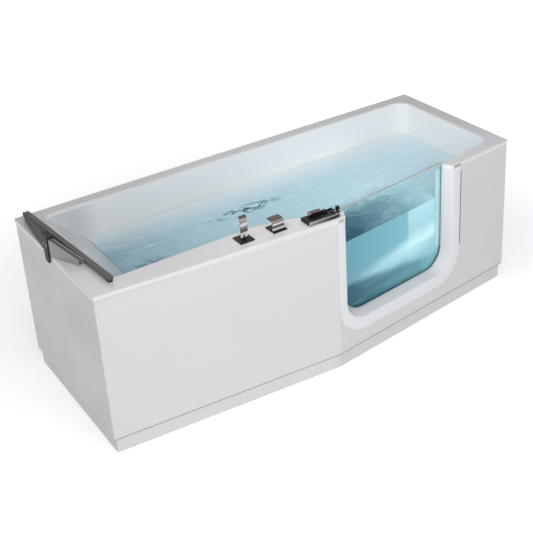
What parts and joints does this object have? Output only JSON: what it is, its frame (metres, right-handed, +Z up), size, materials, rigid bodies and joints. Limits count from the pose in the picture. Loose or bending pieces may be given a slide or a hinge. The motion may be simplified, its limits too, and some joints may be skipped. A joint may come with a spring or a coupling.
{
  "type": "walk-in bathtub",
  "caption": "Walk-in bath with a kinked front, an inward-opening glass door, rim latch, mixer and waste levers, panels, frame and feet.",
  "frame": {"origin": "middle of the footprint, on the floor", "axes": "+X along the bath from its head end to its foot end, +Y from the front to the wall, +Z up"},
  "size_m": [1.707, 0.7, 0.668],
  "materials": {
    "acrylic": "gloss",
    "panel": "gloss",
    "board": "sawn",
    "steel": "zinc plated",
    "rubber": "matt",
    "seal": "satin",
    "glass": "clear",
    "aluminium": "anodised",
    "chrome": "polished",
    "black": "gloss",
    "brass": "turned",
    "pipe": "matt",
    "dark": "satin",
    "grey": "satin"
  },
  "bodies": {
    "bath": {"tub_shell": "acrylic", "floor_board": "board", "rail_front": "steel", "rail_rear": "steel", "cross_tubes": "steel", "foot_studs": "steel", "foot_nuts": "steel", "foot_pads": "rubber", "batten_front": "board", "batten_door_left": "board", "batten_door_right": "board", "batten_head": "board", "batten_foot": "board", "panel_front": "panel", "panel_door": "panel", "panel_head": "panel", "panel_foot": "panel", "plinth_front": "panel", "plinth_door": "panel", "plinth_head": "panel", "plinth_foot": "panel", "wall_brackets": "steel", "door_frame": "acrylic", "door_seal": "seal", "hinge_pins": "steel", "hinge_brackets": "aluminium", "hinge_screws": "steel", "latch_housing": "black", "latch_strip": "chrome", "mixer_plate": "black", "mixer_body": "brass", "mixer_nut": "brass", "inlet_tails": "brass", "fill_pipe": "pipe", "control_plate": "black", "control_body": "brass", "control_nut": "brass", "waste_cable": "pipe", "overflow_rosette": "chrome", "overflow_body": "pipe", "overflow_pipe": "pipe", "waste_flange": "chrome", "waste_body": "pipe", "outlet_pipe": "pipe", "rest_bar": "dark", "rest_beam": "dark", "rest_hook": "dark", "rest_cheeks": "grey", "rest_pads": "rubber", "rest_screws": "steel"},
    "door": {"door_glass": "glass", "hinge_rail": "aluminium", "latch_keeper": "chrome"},
    "lock_lever": {"latch_lever": "chrome"},
    "lock_bolt": {"latch_bolt": "black"},
    "mixer_spindle": {"mixer_hub": "black"},
    "mixer_handle": {"mixer_lever": "chrome"},
    "waste_handle": {"control_lever": "chrome"},
    "plug": {"waste_plug": "chrome"}
  },
  "joints": [
    {"name": "door_hinge", "type": "hinge", "parent": "bath", "child": "door", "pos_m": [0.54506, -0.2223, 0.367], "axis": [0, 0, -1], "range_deg": [0, 95]},
    {"name": "lock_turn", "type": "hinge", "parent": "bath", "child": "lock_lever", "pos_m": [-0.0445, -0.29476, 0.6], "axis": [0, 0, -1], "range_deg": [0, 90]},
    {"name": "bolt_slide", "type": "slide", "parent": "bath", "child": "lock_bolt", "axis": [0.9926, 0.1215, 0], "range_m": [0, 0.015]},
    {"name": "mixer_turn", "type": "hinge", "parent": "bath", "child": "mixer_spindle", "pos_m": [-0.3115, -0.266, 0.59], "axis": [0, 0, 1], "range_deg": [-45, 45]},
    {"name": "mixer_tilt", "type": "hinge", "parent": "mixer_spindle", "child": "mixer_handle", "pos_m": [-0.3115, -0.266, 0.602], "axis": [1, 0, 0], "range_deg": [0, 25]},
    {"name": "waste_turn", "type": "hinge", "parent": "bath", "child": "waste_handle", "pos_m": [-0.1925, -0.273, 0.59], "axis": [0, 0, 1], "range_deg": [0, 90]},
    {"name": "plug_lift", "type": "slide", "parent": "bath", "child": "plug", "axis": [0, 0, 1], "range_m": [0, 0.012]}
  ],
  "couplings": [
    {"joint": "bolt_slide", "follows": "lock_turn", "m_per_rad": 0.00954},
    {"joint": "plug_lift", "follows": "waste_turn", "m_per_rad": 0.00763}
  ]
}
